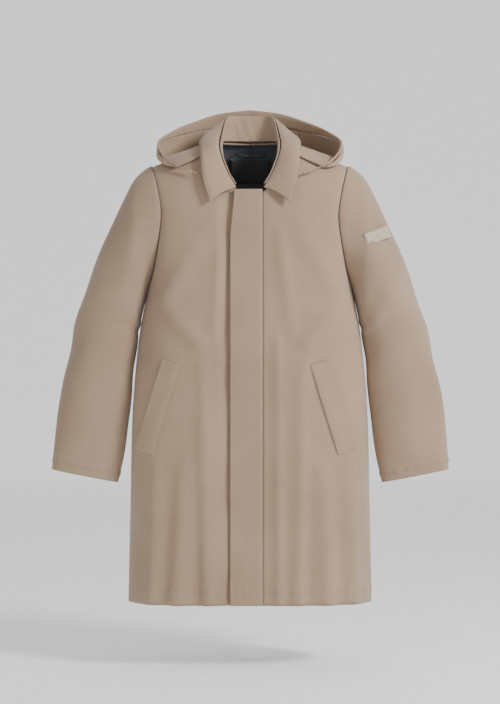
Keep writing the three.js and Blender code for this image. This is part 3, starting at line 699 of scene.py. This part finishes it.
def stitches(title, lines, spacing=0.0038):
    title = title.replace(" ", "_")
    verts, edges = [], []
    for line in lines:
        first = len(verts)
        verts += (np.asarray(line) / toMetres).tolist()
        edges += [(k, k + 1) for k in range(first, len(verts) - 1)]
    mesh = bpy.data.meshes.new(title)
    mesh.from_pydata(verts, edges, [])
    guide = bpy.data.objects.new(title, mesh)
    bpy.context.collection.objects.link(guide)
    change = guide.modifiers.new("stitches", "NODES")
    change.node_group = tree
    change[sockets["spacing"]] = spacing
    change[sockets["length"]] = spacing * 0.74
    change[sockets["width"]] = 0.0006
    change[sockets["seed"]] = 4
    graph = bpy.context.evaluated_depsgraph_get()
    made = bpy.data.meshes.new_from_object(guide.evaluated_get(graph))
    guide.modifiers.clear()
    guide.data = made
    made.polygons.foreach_set("use_smooth", [True] * len(made.polygons))
    return guide


def nearest(points, name, off=0.25):
    mesh = bpy.data.objects[name.replace(" ", "_")].data
    skin = BVHTree.FromPolygons([v.co for v in mesh.vertices], [f.vertices for f in mesh.polygons])
    out = []
    for q in np.asarray(points) / toMetres:
        at, normal, _, _ = skin.find_nearest(Vector(q))
        out.append(tuple((at + normal * (off / toMetres)) * toMetres))
    return out


line = np.linspace(0, 1, 160)
for name, side in sides.items():
    xs = lerp(30 if side > 0 else 52, 252, line)
    rows = [nearest(bodyPoint(side * xs, -coat["hemStitch"], -1) - [0, 8, 0], f"{name} front panel")]
    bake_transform(stitches(f"{name} front stitches", rows))
    xs = lerp(4, 252, line)
    rows = [nearest(bodyPoint(side * xs, -coat["hemStitch"], 1) + [0, 8, 0], f"{name} back panel")]
    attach(stitches(f"{name} back stitches", rows), "shell")
    rows = []
    for inset in (4, 9):
        x, z = pocketXZ(name, lerp(0.02, 0.98, line), inset + 0 * line)
        rows.append(nearest(bodyPoint(side * x, z, -1) - [0, 9, 0], f"{name} pocket welt"))
    x, z = pocketXZ(name, lerp(0.02, 0.98, line), 35 + 0 * line)
    rows.append(nearest(bodyPoint(side * x, z, -1) - [0, 9, 0], f"{name} pocket welt"))
    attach(stitches(f"{name} welt stitches", rows), f"{name}_pocket")
    p, way, a, s = sleevePoints(name, 120, 200)
    ring = p[193] - way[193] * 6
    rows = [nearest(np.vstack([ring, ring[:1]]), f"{name} sleeve")]
    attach(stitches(f"{name} cuff stitches", rows), f"{name}_forearm")
    c = side * lerp(0.02, 0.985, line)
    rows = [nearest(fallPoints(c, 0.93 + 0 * c), f"{name} collar fall")]
    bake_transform(stitches(f"{name} collar stitches", rows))
z = lerp(-980, -115, line)
rows = [nearest(bodyPoint(24 + 0 * z, z, -1) - [0, 6, 0], "fly flap")]
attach(stitches("placket stitches", rows), "left_front_swing")
c = lerp(-0.93, 0.93, np.linspace(0, 1, 300))
p = bend(foldAt(c), bulgeAt(c), rimAt(c), 0.872 + 0 * c)
outwards = unit(np.stack([p[:, 0], p[:, 1] - 40, 0 * c], -1)) * 8
rows = [nearest(p + outwards * face, "hood hem band") for face in (1, -1)]
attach(stitches("hood stitches", rows), "hood")
print("stitches")

# Studs keep their CAD shape with a worn metal look.
metal = bpy.data.materials.new("stud metal")
metal.use_nodes = True
shader = metal.node_tree.nodes["Principled BSDF"]
shader.inputs["Metallic"].default_value = 0.9
shader.inputs["Base Color"].default_value = (0.26, 0.25, 0.24, 1)
scratch = metal.node_tree.nodes.new("ShaderNodeTexNoise")
scratch.inputs["Scale"].default_value = 900
span = metal.node_tree.nodes.new("ShaderNodeMapRange")
span.inputs["To Min"].default_value, span.inputs["To Max"].default_value = 0.25, 0.5
where = metal.node_tree.nodes.new("ShaderNodeTexCoord")
metal.node_tree.links.new(where.outputs["Object"], scratch.inputs["Vector"])
metal.node_tree.links.new(scratch.outputs["Fac"], span.inputs["Value"])
metal.node_tree.links.new(span.outputs["Result"], shader.inputs["Roughness"])
for node, item in frame["nodes"].items():
    if node.startswith("press_"):
        item.data.materials.clear()
        item.data.materials.append(metal)

# Backdrop, light and camera.
studio = {"wall": 6, "key": 150, "fill": 8, "world": 0.55, "glow": 0.3}


def plane(title, size, at, turn, color):
    bpy.ops.mesh.primitive_plane_add(size=size, location=at, rotation=turn)
    item = bpy.context.object
    item.name = title
    m = bpy.data.materials.new(title)
    m.use_nodes = True
    paper = m.node_tree.nodes["Principled BSDF"].inputs
    paper["Base Color"].default_value = (*color, 1)
    paper["Roughness"].default_value = 0.9
    paper["Emission Color"].default_value = (1, 1, 1, 1)
    paper["Emission Strength"].default_value = studio["glow"]
    item.data.materials.append(m)
    return item


plane("floor", 24, (0, 0, -1.12), (0, 0, 0), linear(238, 238, 238))
plane("backdrop", 24, (0, studio["wall"], 0), (math.pi / 2, 0, 0), linear(243, 243, 243))


def lamp(title, at, aim, size, power):
    data = bpy.data.lights.new(title, "AREA")
    data.size, data.energy = size, power
    item = bpy.data.objects.new(title, data)
    item.location = at
    item.rotation_euler = (Vector(aim) - Vector(at)).to_track_quat("-Z", "Y").to_euler()
    bpy.context.collection.objects.link(item)


lamp("key", (2.6, -1.9, 1.5), (0, 0, -0.4), 0.9, studio["key"])
lamp("fill", (-2.2, -2.6, 0.3), (0, 0, -0.5), 2.2, studio["fill"])
world = bpy.data.worlds.new("studio")
world.use_nodes = True
world.node_tree.nodes["Background"].inputs["Color"].default_value = (1, 1, 1, 1)
world.node_tree.nodes["Background"].inputs["Strength"].default_value = studio["world"]
bpy.context.scene.world = world
data = bpy.data.cameras.new("camera")
data.lens, data.sensor_height, data.sensor_fit = 100, 36, "VERTICAL"
camera = bpy.data.objects.new("camera", data)
camera.location = (0, -4.2, -0.4526)
camera.rotation_euler = (math.pi / 2, 0, 0)
bpy.context.collection.objects.link(camera)
bpy.context.scene.camera = camera
